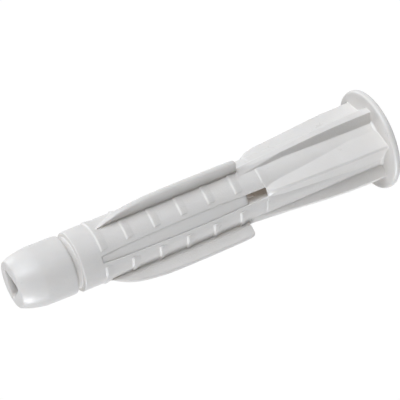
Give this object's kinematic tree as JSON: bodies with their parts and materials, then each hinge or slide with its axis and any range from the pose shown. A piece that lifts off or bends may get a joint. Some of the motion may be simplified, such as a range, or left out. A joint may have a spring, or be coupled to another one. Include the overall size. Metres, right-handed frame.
{
  "type": "wall plug",
  "caption": "Universal plastic wall plug with a stepped nose, slotted expansion legs, anti-rotation fins, grip ribs and a flat round collar.",
  "frame": {"origin": "centre of the collar's flat head face, where the screw goes in", "axes": "+Z along the plug from the collar to the nose, +X through the middle of one of the long slots"},
  "size_m": [0.0132, 0.0132, 0.051],
  "materials": {
    "light_grey_plastic": "moulded nylon in a light warm grey, satin, slightly translucent at thin edges"
  },
  "bodies": {
    "root": {"wall_plug": "light_grey_plastic"}
  },
  "joints": []
}
